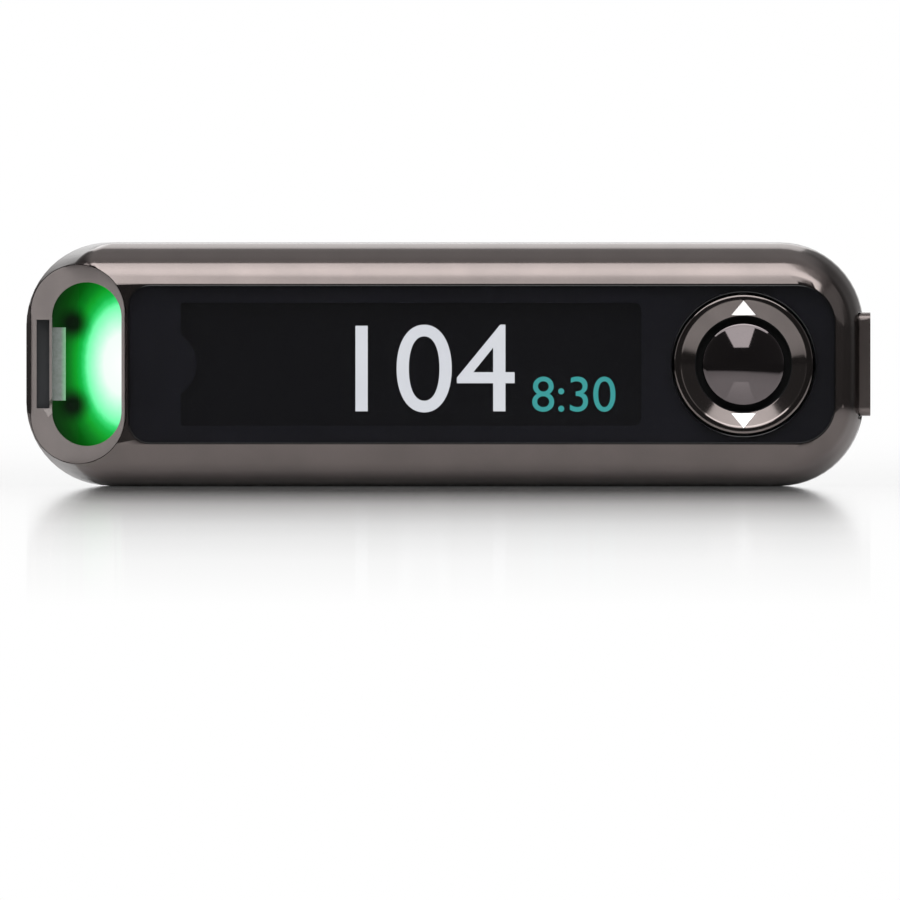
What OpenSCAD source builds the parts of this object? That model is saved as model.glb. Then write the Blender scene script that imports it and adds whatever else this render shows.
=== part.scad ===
// Pocket blood glucose meter, stored standing on its long edge.
// X runs along the length with the strip port at the low end, the face looks toward -Y,
// the back toward +Y, and Z is up. Every size is in millimetres.

/* [Body] */
// Length of the two housings without the door's end lip
body_l = 96.4; // [95:0.2:100]
// Height of the body as it stands on its long edge
body_h = 28; // [27.6:0.1:29]
// Depth from the face to the back
body_d = 14.9; // [14.9:0.1:15.9]
// Corner radius of the outline seen from the front
corner_r = 9.6; // [9.3:0.1:9.9]
// Wall of the two housings
wall = 1.4; // [1.2:0.1:1.6]

/* [Face] */
// Height of the bevel between the lens and each long side
bevel_h = 4.9; // [4.8:0.05:5]
// Thickness of the front lens
lens_t = 1; // [0.8:0.1:1.1]
// Black border above and below the display window
border = 2.05; // [1.9:0.05:2.6]
// Gap between the display window and the scroll ring
window_gap = 3.67; // [3.5:0.01:5]
// Thickness of the display panel
panel_t = 1.5; // [1.2:0.1:1.7]

/* [Buttons] */
// Lens left between the scroll ring and the lens edge
ring_edge = 1.07; // [1:0.01:1.3]
// Width of the scroll ring's band
ring_band = 2.55; // [2.5:0.01:2.65]
// Gap between the centre button and the scroll ring
ok_gap = 0.78; // [0.7:0.02:0.9]
// Distance from the housing's far end to the centre of the buttons
button_in = 14; // [14:0.1:14.6]
// Travel of the centre button
ok_travel = 0.5; // [0.3:0.05:0.5]
// Tilt of the scroll ring to each side, in degrees
ring_tilt = 2.5; // [1:0.5:2.5]
// Radius of the scroll ring's pivot pins
pivot_r = 0.6; // [0.5:0.05:0.7]

/* [Strip port] */
// Slant of the port face against the front, in degrees
port_slant = 43; // [42:0.5:43.5]
// Width of the port opening seen from the front
port_w = 8.1; // [7.6:0.1:8.3]
// Height of body left above and below the port opening
port_edge = 4.6; // [4.5:0.05:5]
// Width of the slot that a test strip enters
slot_w = 8.3; // [7:0.1:8.4]
// Thickness of the slot that a test strip enters
slot_t = 0.55; // [0.5:0.05:0.55]

/* [Battery] */
// Radius of a coin cell
cell_r = 10; // [9.8:0.05:10]
// Thickness of a coin cell
cell_t = 3.2; // [2.8:0.1:3.2]
// Thickness of the battery door
door_t = 1.3; // [1.2:0.05:1.35]
// How far the door's thumb lip stands past the housing's end
lip_out = 0.6; // [0.4:0.1:0.9]

/* [Clearances] */
// Gap around a piece that stays put
fit = 0.05; // [0.03:0.01:0.08]
// Gap between sliding or turning faces
run = 0.1; // [0.08:0.01:0.12]
// Radial gap of a pin or stem in its hole
pin_fit = 0.05; // [0.03:0.01:0.08]

/* [Hidden] */
fine = 72;
half_d = body_d / 2;
mid = body_h / 2;
lens_h = body_h - 2 * bevel_h;
window_h = lens_h - 2 * border;
ring_r = lens_h / 2 - ring_edge;
ring_hole_r = ring_r - ring_band;
ok_r = ring_hole_r - ok_gap;
port_h = body_h - 2 * port_edge;
left = -(body_l + lip_out) / 2;
right = left + body_l;
tip = right + lip_out;

// Slanted port face: meets the front plane at facet_x
facet_x = left + 11.5;
facet_run = tan(port_slant);
part_y = -half_d + 11.5 * facet_run + 0.13;
port_cx = facet_x - 4.45;
bezel_cx = facet_x - 5.5;
bezel_w = 10.9;
bezel_h = port_h + 4;
bezel_t = 1.3;
cup_wall = 0.6;
cup_back = part_y - 0.1;
cup_floor = cup_back - 0.5;
strip_y = part_y - 1.25;
tongue_h = 8.4;
tongue_step = 0.5;
tongue_x = port_cx - 2.5;
glow_depth = 2.6;

// Levels through the front half, counted from the face
lens_x0 = facet_x + 0.4;
end_bevel = 3.3;
lens_x1 = right - end_bevel - 0.2;
mask_t = 0.2;
seat_y = -half_d + lens_t + mask_t;
web_y = seat_y + 0.8;
gasket_t = 0.2;
panel_y = web_y + gasket_t;
cradle_y = panel_y + panel_t;
cradle_t = 0.7;
window_x0 = facet_x + 6.4;
panel_edge = 1.3;
panel_x0 = window_x0 - panel_edge;
panel_h = window_h + 2 * panel_edge + 0.9;

// Button cluster
bx = right - button_in;
window_x1 = bx - ring_r - window_gap;
well_r = ring_r + 0.37;
collar_r = ring_r + 1.57;
panel_x1 = bx - collar_r - 0.2;
pivot_y = -half_d + 2.25;
guide_y = -half_d + 3.15;
guide_t = 0.8;
guide_r = well_r + 0.45;
post_at = ring_r - 0.73;
stem_r = 1.5;
switch_h = 1.2;

// Circuit board
board_t = 0.8;
board_y0 = -board_t / 2;
board_y1 = board_t / 2;
board_x0 = facet_x - 1.3;
board_x1 = right - 3.6;
board_h = body_h - 5;
switch_y = board_y0 - switch_h;
stem_end = switch_y - ok_travel - fit;
post_end = switch_y - post_at * sin(ring_tilt) - run;

// Battery bay, counted from the back
door_in = half_d - door_t;
ledge_t = 1.2;
ledge_y0 = door_in - fit - ledge_t;
cell_y1 = door_in - 0.85;
cell_y0 = cell_y1 - cell_t;
leaf_t = 0.2;
tray_floor = cell_y0 - leaf_t;
tray_y0 = tray_floor - 0.6;
tray_y1 = ledge_y0;
pocket_r = cell_r + 0.15;
tray_r = pocket_r + 0.85;
bay_r = cell_r + 0.2;
cell_step = 2 * pocket_r + 0.6;
cell_x2 = right - 5.6 - tray_r;
cell_x1 = cell_x2 - cell_step;
door_x0 = cell_x1 - bay_r - 1.2;
door_h = 2 * cell_r + 0.8;
rail = 0.6;
lip_h = 11.9;
lip_t = 2.1;
lip_r = 1;
lip_y0 = part_y + 0.6;
lip_y1 = half_d - 0.6;
lip_front = -half_d + 3.8;
lip_skin = 1.3;

// Screws: two beside the port, two under the door
screw_r = 0.8;
head_r = 1.45;
head_y0 = door_in - 1.25;
head_y1 = door_in - 0.15;
boss_r = 1.6;
screw_in = web_y + 1.6;
screw_at = [
  [facet_x + 2.4, mid - 7.3],
  [facet_x + 2.4, mid + 7.3],
  [right - 4.6, mid - 6.5],
  [right - 4.6, mid + 6.5]
];

// ---------- shared shapes ----------

// Thin disc facing along Y, a corner of a lofted outline
module disc(r)
  rotate([-90, 0, 0])
    cylinder(r1 = r, r2 = r - 0.05, h = 0.01, $fn = 40);

// Four corner discs of one outline at depth y
module rim(y, x0, x1, inset, r0, r1) {
  for (s = [-1, 1]) {
    translate([x0 + r0, y, mid + s * (mid - inset - r0)]) disc(r0);
    translate([x1 - r1, y, mid + s * (mid - inset - r1)]) disc(r1);
  }
}

// Upright plate between depths y0 and y1 with its own corner radius at each end
module plate(x0, x1, h, y0, y1, r0, r1)
  translate([0, y1, mid])
    rotate([90, 0, 0])
      linear_extrude(y1 - y0) {
        translate([x0 + r0, -h / 2]) square([x1 - r1 - x0 - r0, h]);
        translate([x0, r0 - h / 2]) square([r0, h - 2 * r0]);
        translate([x1 - r1, r1 - h / 2]) square([r1, h - 2 * r1]);
        for (s = [-1, 1]) {
          translate([x0 + r0, s * (h / 2 - r0)]) circle(r = r0, $fn = fine);
          translate([x1 - r1, s * (h / 2 - r1)]) circle(r = r1, $fn = fine);
        }
      }

// Round bar along Y
module bar_y(x, z, r, y0, y1)
  translate([x, y0, z])
    rotate([-90, 0, 0])
      cylinder(r = r, h = y1 - y0, $fn = fine);

// Round bar along X
module bar_x(y, z, r, x0, x1)
  translate([x0, y, z])
    rotate([0, 90, 0])
      cylinder(r = r, h = x1 - x0, $fn = fine);

// Block between two corners
module block(a, b)
  translate(a)
    cube(b - a);

// Upright slot shape along Y, round at top and bottom
module slot(cx, w, h, y0, y1) {
  for (s = [-1, 1]) bar_y(cx, mid + s * (h - w) / 2, w / 2, y0, y1);
  block([cx - w / 2, y0, mid - (h - w) / 2], [cx + w / 2, y1, mid + (h - w) / 2]);
}

// Outline that is round about the two cells
module cell_bay(r, y0, y1) {
  bar_y(cell_x1, mid, r, y0, y1);
  bar_y(cell_x2, mid, r, y0, y1);
  block([cell_x1, y0, mid - r], [cell_x2, y1, mid + r]);
}

// Frame of the slanted port face: X down the slope, Y up, Z into the body
module port_frame()
  translate([facet_x, -half_d, 0])
    rotate([90, 0, 180 - port_slant])
      children();

// Everything that lies between two depths below the port face
module port_slab(d0, d1)
  port_frame()
    translate([-25, -2, d0])
      cube([60, body_h + 4, d1 - d0]);

// ---------- housings ----------

module front_outer()
  hull() {
    rim(-half_d + 0.1, facet_x + 0.1, right - end_bevel, bevel_h - 0.15, 1.5, 4.85);
    rim(-half_d + 0.7, facet_x - 0.5, right - 0.74 * end_bevel, 0.7 * bevel_h, 3.2, 6.3);
    rim(-half_d + 1.55, facet_x - 1.4, right - 0.47 * end_bevel, 0.42 * bevel_h, 4.8, 7.7);
    rim(-half_d + 3.3, facet_x - 3.3, right - 0.2 * end_bevel, 0.16 * bevel_h, 6.6, 9);
    rim(-half_d + 5.2, facet_x - 5.3, right, 0, 8.2, corner_r);
    rim(part_y - 0.11, left, right, 0, corner_r, corner_r);
    rim(part_y - 0.02, left, right, 0, corner_r, corner_r);
    intersection() {
      slot(bezel_cx, bezel_w + 0.5, bezel_h + 0.5, -half_d, part_y);
      port_slab(0, 0.02);
    }
  }

module front_inner()
  hull() {
    rim(web_y, facet_x + 2.1, right - end_bevel - 1, bevel_h - 0.2, 1.5, 4);
    rim(web_y + 0.9, facet_x + 1.4, right - end_bevel + 0.4, 0.61 * bevel_h, 3, 6);
    rim(web_y + 2.4, facet_x - 0.2, right - wall - 0.5, wall + 0.5, 5, 7.5);
    rim(-half_d + 6.45, facet_x - 1.6, right - wall, wall, 6.5, corner_r - wall);
    rim(part_y + 0.1, facet_x - 4, right - wall, wall, 7, corner_r - wall);
  }

module front_housing()
  color("#5f5856")
    difference() {
      union() {
        difference() {
          front_outer();
          front_inner();
        }
        bar_y(bx, mid, collar_r, seat_y, guide_y + guide_t);
        for (p = screw_at) bar_y(p[0], p[1], boss_r, web_y - 0.2, board_y0);
      }
      // seat of the lens and the window behind it
      plate(lens_x0 - fit, lens_x1 + fit, lens_h + 2 * fit, -half_d - 1, seat_y, 2.5, 4.5);
      plate(window_x0 - 0.6, window_x1 + 0.6, window_h + 1.2, seat_y - 1, web_y + 0.1, 1, 1);
      // well of the buttons with its step for the guide and its two bearings
      bar_y(bx, mid, well_r, seat_y - 1, guide_y + 1);
      bar_y(bx, mid, guide_r + fit, guide_y, guide_y + 2);
      bar_x(pivot_y, mid, pivot_r + pin_fit, bx - collar_r - 0.1, bx + collar_r + 0.1);
      // seat of the port bezel and its cup
      intersection() {
        slot(bezel_cx, bezel_w + 2 * fit, bezel_h + 2 * fit, -half_d - 1, part_y + 1);
        port_slab(-3, bezel_t);
      }
      intersection() {
        slot(port_cx, port_w + 2 * cup_wall + 2 * fit, port_h + 2 * cup_wall + 2 * fit,
          -half_d - 1, part_y + 1);
        port_slab(bezel_t, 40);
      }
      // way for the strip connector
      block([port_cx, board_y0 - 0.2, mid - 5.8], [facet_x + 2, part_y + 1, mid + 5.8]);
      for (p = screw_at) bar_y(p[0], p[1], screw_r + 0.02, screw_in - 0.4, board_y0 + 1);
      lip_notch();
    }

module back_outer()
  hull() {
    rim(part_y, left, right, 0, corner_r, corner_r);
    rim(half_d - 2.65, left, right, 0, corner_r, corner_r);
    rim(half_d - 1.5, left + 0.35, right - 0.35, 0.35, corner_r - 0.35, corner_r - 0.35);
    rim(half_d - 0.6, left + 1.2, right - 1.2, 1.2, corner_r - 1.2, corner_r - 1.2);
    rim(half_d - 0.02, left + 2.6, right - 2.6, 2.6, corner_r - 2.6, corner_r - 2.6);
  }

module back_inner()
  hull() {
    rim(part_y - 0.1, left + wall, right - wall, wall, corner_r - wall, corner_r - wall);
    rim(half_d - 2.9, left + wall, right - wall, wall, corner_r - wall, corner_r - wall);
    rim(half_d - 1.4, left + 3.2, right - 3.2, 3.2, corner_r - 3.2, corner_r - 3.2);
  }

module back_housing()
  color("#4b4644")
    difference() {
      union() {
        difference() {
          back_outer();
          back_inner();
        }
        intersection() {
          back_outer();
          block([door_x0 - 1.4, ledge_y0, -1], [tip, half_d + 1, body_h + 1]);
        }
        for (p = screw_at) {
          bar_y(p[0], p[1], boss_r, board_y1, head_y1);
          bar_y(p[0], p[1], head_r + 0.75, part_y + 0.1, half_d - 0.8);
        }
      }
      // recess, grooves and end cut-out of the battery door
      block([door_x0 - run, door_in - fit, mid - door_h / 2 - run],
        [tip + 1, half_d + 1, mid + door_h / 2 + run]);
      block([door_x0 - run, door_in - fit, mid - door_h / 2 - rail - run],
        [tip + 1, door_in + rail + run, mid + door_h / 2 + rail + run]);
      block([tip - lip_t - run, lip_y0 - run, mid - lip_h / 2 - run],
        [tip + 1, half_d + 1, mid + lip_h / 2 + run]);
      lip_notch();
      // opening for the two cells
      cell_bay(bay_r, ledge_y0 - 0.1, door_in);
      for (p = screw_at) {
        bar_y(p[0], p[1], screw_r + 0.1, board_y1 - 1, half_d);
        bar_y(p[0], p[1], head_r + 0.1, head_y0, half_d + 1);
      }
    }

// Lip of one thickness along X from depth y0 to the door, with four rounded corners
module lip_plate(t, y0) {
  for (s = [-1, 1], y = [y0 + lip_r, lip_y1 - lip_r])
    bar_x(y, mid + s * (lip_h / 2 - lip_r), lip_r, tip - t, tip);
  block([tip - t, y0, mid - lip_h / 2 + lip_r], [tip, lip_y1, mid + lip_h / 2 - lip_r]);
  block([tip - t, y0 + lip_r, mid - lip_h / 2], [tip, lip_y1 - lip_r, mid + lip_h / 2]);
}

// Notch in the housings' end around the thin part of the lip
module lip_notch()
  block([tip - lip_skin - run, lip_front - run, mid - lip_h / 2 - run],
    [tip + 1, lip_y0 + 0.1, mid + lip_h / 2 + run]);

module battery_door()
  color("#45403f")
    difference() {
      union() {
        intersection() {
          back_outer();
          block([door_x0, door_in, mid - door_h / 2], [tip, half_d + 1, mid + door_h / 2]);
        }
        // rails along both sides
        block([door_x0, door_in, mid - door_h / 2 - rail],
          [right - 6, door_in + rail, mid + door_h / 2 + rail]);
        // thumb lip over the housing's end, thick at the door and thin toward the face
        lip_plate(lip_t, lip_y0);
        lip_plate(lip_skin, lip_front);
      }
      // grip grooves for the thumb
      for (i = [0:5])
        translate([right - 16 + i * 1.6, half_d + 0.3, mid])
          cylinder(r = 0.55, h = 12 - abs(i - 2.5) * 1.2, center = true, $fn = 24);
    }

// ---------- face ----------

module front_lens()
  color("#15161b")
    difference() {
      plate(lens_x0, lens_x1, lens_h, -half_d, seat_y - mask_t, 2.5 - fit, 4.5 - fit);
      bar_y(bx, mid, ring_r + 0.2, -half_d - 1, seat_y);
    }

module lens_mask()
  color("#0b0b0f")
    difference() {
      plate(lens_x0 + 0.15, lens_x1 - 0.15, lens_h - 0.3, seat_y - mask_t, seat_y, 2.3, 4.3);
      difference() {
        plate(window_x0, window_x1, window_h, seat_y - 1, seat_y + 1, 0.3, 0.9);
        bar_y(window_x0 - 2.3, mid, 4.1, seat_y - 1, seat_y + 1);
      }
      bar_y(bx, mid, ring_r + 0.3, seat_y - 1, seat_y + 1);
    }

module display_gasket()
  color("#232326")
    difference() {
      plate(panel_x0, panel_x1, panel_h, web_y, panel_y, 0.6, 0.6);
      plate(window_x0 - 0.6, window_x1 + 0.6, window_h + 1.2, web_y - 1, panel_y + 1, 1, 1);
    }

module display_panel()
  color("#07080b") {
    plate(panel_x0, panel_x1, panel_h, panel_y, panel_y + panel_t * 0.55, 0.5, 0.5);
    plate(panel_x0 + 0.3, panel_x1 - 1.8, panel_h - 0.6,
      panel_y + panel_t * 0.55, cradle_y, 0.4, 0.4);
  }

cradle_step = (panel_x1 - panel_x0 - 7) / 3;

module display_cradle()
  color("#c9cbc8")
    difference() {
      union() {
        plate(panel_x0 + 0.4, panel_x1 - 0.4, panel_h - 0.4, cradle_y, cradle_y + cradle_t, 1, 1);
        for (x = [panel_x0 + 2.2, panel_x1 - 2.6], s = [-1, 1])
          bar_y(x, mid + s * 6.2, 1.1, cradle_y, board_y0);
      }
      for (i = [0:2])
        block([panel_x0 + 5 + i * cradle_step, cradle_y - 1, mid - 5],
          [panel_x0 + 2 + (i + 1) * cradle_step, cradle_y + 2, mid + 5]);
      block([ribbon_x - 0.4, cradle_y - 1, -1],
        [ribbon_x + ribbon_w + 0.4, cradle_y + 2, ribbon_z + 2]);
    }

radio_x = bx - collar_r - 13.2;

// Ribbon: down from the panel's back edge and round to its socket on the board
ribbon_w = 13;
ribbon_x = radio_x - ribbon_w - 8.7;
ribbon_t = 0.15;
ribbon_z = mid - 8.05;
socket_z = mid - 5.6;
ribbon_bend = (board_y0 - 0.75 - cradle_y) / 2;

module display_ribbon()
  color("#b8782f") {
    translate([ribbon_x, cradle_y + ribbon_bend, ribbon_z])
      rotate([0, 90, 0])
        rotate([0, 0, -90])
          rotate_extrude(angle = 180, $fn = fine)
            translate([ribbon_bend - ribbon_t, 0])
              square([ribbon_t, ribbon_w]);
    block([ribbon_x, cradle_y, ribbon_z], [ribbon_x + ribbon_w, cradle_y + ribbon_t, ribbon_z + 1.6]);
    block([ribbon_x, cradle_y + 2 * ribbon_bend - ribbon_t, ribbon_z],
      [ribbon_x + ribbon_w, cradle_y + 2 * ribbon_bend, socket_z - 0.6]);
  }

module ribbon_socket()
  color("#e4e0d4")
    difference() {
      block([ribbon_x - 1, board_y0 - 1.2, socket_z - 1.2],
        [ribbon_x + ribbon_w + 1, board_y0, socket_z + 1.8]);
      block([ribbon_x - 0.1, board_y0 - 0.95, socket_z - 1.3],
        [ribbon_x + ribbon_w + 0.1, board_y0 - 0.7, socket_z + 0.6]);
    }

// ---------- buttons ----------

// Turns a profile of (radius, depth below the face) about the buttons' axis
module button_turn(profile)
  translate([bx, -half_d, mid])
    rotate([-90, 0, 0])
      rotate_extrude($fn = 96)
        polygon(profile);

dish = 0.72;
dome = 0.78;
arrow_r0 = ring_hole_r + 0.14;
arrow_r1 = ring_r - 0.71;
arrow_half = 1.4;

// The two triangles, cut into or filling the ring's dished face
module arrow_prisms(gap, y0, y1)
  for (s = [-1, 1])
    translate([bx, y1, mid])
      rotate([90, 0, 0])
        linear_extrude(y1 - y0)
          polygon([[-arrow_half - gap, s * (arrow_r0 - gap)],
            [arrow_half + gap, s * (arrow_r0 - gap)], [0, s * (arrow_r1 + 1.5 * gap)]]);

module ring_solid()
  button_turn([
    [ring_hole_r, dish], [ring_r - 0.88, 0.14], [ring_r - 0.73, 0.02], [ring_r - 0.3, 0],
    [ring_r, 0.3], [ring_r, 2.75], [ring_r - 1.4, 2.75], [ring_r - 1.4, 1.7],
    [ring_hole_r, 1.7]
  ]);

module scroll_ring()
  color("#7a7370")
    difference() {
      union() {
        ring_solid();
        for (s = [-1, 1]) {
          bar_y(bx, mid + s * post_at, pivot_r, -half_d + 2.6, post_end);
          bar_x(pivot_y, mid, pivot_r, bx + s * (ring_r + 0.15) - 1.2, bx + s * (ring_r + 0.15) + 1.2);
        }
      }
      arrow_prisms(0.02, -half_d - 1, -half_d + 1);
    }

module arrow_marks()
  color("#f5f2ef")
    intersection() {
      ring_solid();
      arrow_prisms(0, -half_d - 1, -half_d + 1);
    }

module ok_button()
  color("#2a2a31")
    button_turn(concat(
      [for (i = [0:8]) [(ok_r - 0.1) * i / 8, 0.1 + dome * pow(i / 8, 2)]],
      [[ok_r - 0.03, dome + 0.15], [ok_r, dome + 0.27], [ok_r, 2.15], [ok_r + 1.2, 2.15],
        [ok_r + 1.2, 2.55], [stem_r, 2.55], [stem_r, stem_end + half_d],
        [0, stem_end + half_d]]
    ));

module button_guide()
  color("#2f3033")
    difference() {
      union() {
        bar_y(bx, mid, guide_r, guide_y, guide_y + guide_t);
        bar_y(bx, mid, stem_r + 1.1, guide_y, guide_y + guide_t + 0.7);
      }
      bar_y(bx, mid, stem_r + pin_fit, guide_y - 1, guide_y + 4);
      for (s = [-1, 1])
        bar_y(bx, mid + s * post_at, pivot_r + 0.4, guide_y - 1, guide_y + 4);
    }

module key_switches()
  color("#c8c9cc")
    for (k = [-1, 0, 1]) {
      block([bx - 1.6, board_y0 - 0.8, mid + k * post_at - 1.4],
        [bx + 1.6, board_y0, mid + k * post_at + 1.4]);
      bar_y(bx, mid + k * post_at, 0.9, switch_y, board_y0 - 0.7);
    }

// ---------- strip port ----------

module port_bezel()
  color("#7b7270")
    difference() {
      union() {
        intersection() {
          slot(bezel_cx, bezel_w, bezel_h, -half_d - 1, cup_back);
          port_slab(0, bezel_t);
        }
        intersection() {
          slot(port_cx, port_w + 2 * cup_wall, port_h + 2 * cup_wall, -half_d - 1, cup_back);
          port_slab(bezel_t, 40);
        }
      }
      // inside of the cup, which keeps a raised tongue under the strip
      difference() {
        slot(port_cx, port_w, port_h, -half_d - 1, cup_floor);
        block([left, strip_y, mid - tongue_h / 2], [tongue_x, cup_back, mid + tongue_h / 2]);
        block([left, strip_y + tongue_step, mid - tongue_h / 2],
          [port_cx - 0.6, cup_back, mid + tongue_h / 2]);
      }
      // open floor behind the light guide and the connector
      slot(port_cx + 1.5, port_w - 3, port_h - 3.4, -half_d, cup_back + 1);
      block([port_cx - 0.6, board_y0 - 0.3, mid - 5.6], [facet_x + 2, cup_back + 1, mid + 5.6]);
      block([board_x0 - 0.15, board_y0 - 0.75, -1], [facet_x + 2, cup_back + 1, body_h + 1]);
      // notch that lets the strip pass the slanted rim
      block([facet_x - 10.3, -half_d, mid - 5.1], [facet_x - 8.8, cup_floor, mid + 5.1]);
    }

module light_guide()
  color("#39d873")
    difference() {
      intersection() {
        slot(port_cx, port_w - 2 * fit, port_h - 2 * fit, -half_d, strip_y - 0.8);
        port_slab(glow_depth, 40);
        block([port_cx - 0.55, -half_d, 0], [facet_x + 2, part_y, body_h]);
      }
      // room for the circuit board's end and its lights
      block([board_x0 - fit, board_y0 - 0.75, -1], [facet_x + 3, part_y, body_h + 1]);
    }

module port_lights()
  color("#eef6ea")
    for (z = [-5, 0, 5]) {
      block([board_x0 + 0.25, board_y0 - 0.6, mid + z - 0.8],
        [board_x0 + 1.05, board_y0, mid + z + 0.8]);
    }

conn_x0 = port_cx - 0.5;
conn_x1 = facet_x + 8.5;
conn_step = board_x0 + 0.1;
finger_n = 5;

module strip_connector()
  color("#d8d5cc")
    difference() {
      union() {
        block([conn_x0, strip_y - 0.78, mid - 5.4], [conn_x1, part_y - 0.3, mid + 5.4]);
        block([conn_step, board_y1, mid - 5.4], [conn_x1, part_y - 0.3, mid + 5.4]);
      }
      // slot for the strip, flared at its mouth
      block([conn_x0 - 1, strip_y - slot_t + 0.05, mid - slot_w / 2],
        [conn_x1 - 2, strip_y + 0.05, mid + slot_w / 2]);
      // channels of the spring fingers
      for (i = [0:finger_n - 1])
        block([conn_step + 1, board_y1 - 1, mid + (i - 2) * 1.5 - 0.45],
          [conn_x1 - 0.4, strip_y - slot_t + 0.1, mid + (i - 2) * 1.5 + 0.45]);
    }

module strip_contacts()
  color("#c9a24a")
    for (i = [0:finger_n - 1])
      translate([0, 0, mid + (i - 2) * 1.5 - 0.3])
        linear_extrude(0.6)
          polygon([
            [conn_x1 - 0.6, board_y1], [conn_x1 - 0.6, board_y1 + 0.2],
            [conn_x1 - 3.2, board_y1 + 0.2], [conn_step + 3.4, strip_y - slot_t - 0.05],
            [conn_step + 2.2, strip_y - slot_t + 0.02], [conn_step + 1.5, strip_y - slot_t - 0.3],
            [conn_step + 1.7, strip_y - slot_t - 0.4], [conn_step + 2.3, strip_y - slot_t - 0.16],
            [conn_step + 3.3, strip_y - slot_t - 0.24], [conn_x1 - 3.3, board_y1]
          ]);

// ---------- electronics ----------

module circuit_board()
  color("#1d6b45")
    difference() {
      plate(board_x0, board_x1, board_h, board_y0, board_y1, 5.5, 7);
      for (p = screw_at) bar_y(p[0], p[1], screw_r + 0.15, board_y0 - 1, board_y1 + 1);
      for (x = [cell_x1, cell_x2]) {
        bar_y(x, mid, 0.35, board_y0 - 1, board_y1 + 1);
        block([x - 0.7, board_y0 - 1, mid - cell_r - 0.65], [x + 0.7, board_y1 + 1, mid - cell_r - 0.15]);
      }
    }

module board_chips()
  color("#26282b") {
    block([radio_x - 26.7, board_y0 - 0.9, mid - 1], [radio_x - 19.7, board_y0, mid + 6]);
    block([radio_x - 15.7, board_y0 - 0.8, mid + 1], [radio_x - 10.7, board_y0, mid + 6]);
    block([facet_x + 9.5, board_y1, mid - 3], [facet_x + 15.5, board_y1 + 0.8, mid + 3]);
    block([facet_x + 18, board_y1, mid - 7], [facet_x + 22, board_y1 + 0.7, mid - 3]);
  }

module radio_module()
  color("#b9bcc0") {
    plate(radio_x + 0.5, radio_x + 11.5, 9, board_y0 - 1.6, board_y0 - 0.3, 0.5, 0.5);
    plate(radio_x, radio_x + 12, 10, board_y0 - 0.35, board_y0, 0.3, 0.3);
  }

module buzzer()
  color("#17181a")
    difference() {
      bar_y(window_x0 + 7, mid + 1.5, 4.5, board_y0 - 2.2, board_y0);
      bar_y(window_x0 + 7, mid + 1.5, 0.9, board_y0 - 3, board_y0 - 1.6);
      difference() {
        bar_y(window_x0 + 7, mid + 1.5, 4.6, board_y0 - 3, board_y0 - 1.9);
        bar_y(window_x0 + 7, mid + 1.5, 4.1, board_y0 - 3, board_y0 - 1.9);
      }
    }

// ---------- battery ----------

module battery_tray()
  color("#222326")
    difference() {
      cell_bay(tray_r, tray_y0, tray_y1);
      for (x = [cell_x1, cell_x2]) {
        bar_y(x, mid, pocket_r, tray_floor, tray_y1 + 1);
        bar_y(x, mid, 0.5, tray_y0 - 1, tray_floor + 1);
        // pocket of the side contact
        block([x - 2.3, tray_y0 - 1, mid - cell_r - 0.65], [x + 2.3, tray_y1 + 1, mid - cell_r + 0.6]);
      }
    }

module coin_cells()
  color("#c4c7ca")
    for (x = [cell_x1, cell_x2])
      translate([x, cell_y0, mid])
        rotate([-90, 0, 0])
          rotate_extrude($fn = 96)
            polygon([[0, 0], [cell_r - 1.2, 0], [cell_r - 0.95, 0.15], [cell_r - 0.95, 0.35],
              [cell_r - 0.3, 0.4], [cell_r, 0.7], [cell_r, cell_t - 0.25],
              [cell_r - 0.25, cell_t], [0, cell_t]]);

module cell_springs()
  color("#d8c58a")
    for (x = [cell_x1, cell_x2]) {
      block([x - 5, tray_floor, mid - 1.2], [x + 5, cell_y0, mid + 1.2]);
      bar_y(x, mid, 0.3, board_y0, tray_floor + 0.1);
    }

module cell_clips()
  color("#d8c58a")
    for (x = [cell_x1, cell_x2]) {
      block([x - 2, tray_floor + 0.4, mid - cell_r - 0.3], [x + 2, cell_y1 - 0.6, mid - cell_r]);
      block([x - 0.6, board_y0, mid - cell_r - 0.55], [x + 0.6, tray_floor + 0.8, mid - cell_r - 0.25]);
    }

module housing_screws()
  color("#8d9094")
    for (p = screw_at)
      difference() {
        union() {
          bar_y(p[0], p[1], screw_r, screw_in, head_y0 + 0.1);
          bar_y(p[0], p[1], head_r, head_y0, head_y1);
        }
        for (a = [0, 90])
          translate([p[0], head_y1, p[1]])
            rotate([0, a, 0])
              cube([1.9, 1.2, 0.4], center = true);
      }

front_housing();
back_housing();
battery_door();
front_lens();
lens_mask();
port_bezel();
light_guide();
port_lights();
strip_connector();
strip_contacts();
circuit_board();
display_panel();
display_gasket();
display_cradle();
display_ribbon();
ribbon_socket();
ok_button();
scroll_ring();
arrow_marks();
button_guide();
key_switches();
board_chips();
radio_module();
buzzer();
battery_tray();
coin_cells();
cell_springs();
cell_clips();
housing_screws();
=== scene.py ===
from math import cos, pi, radians, sin

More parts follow.
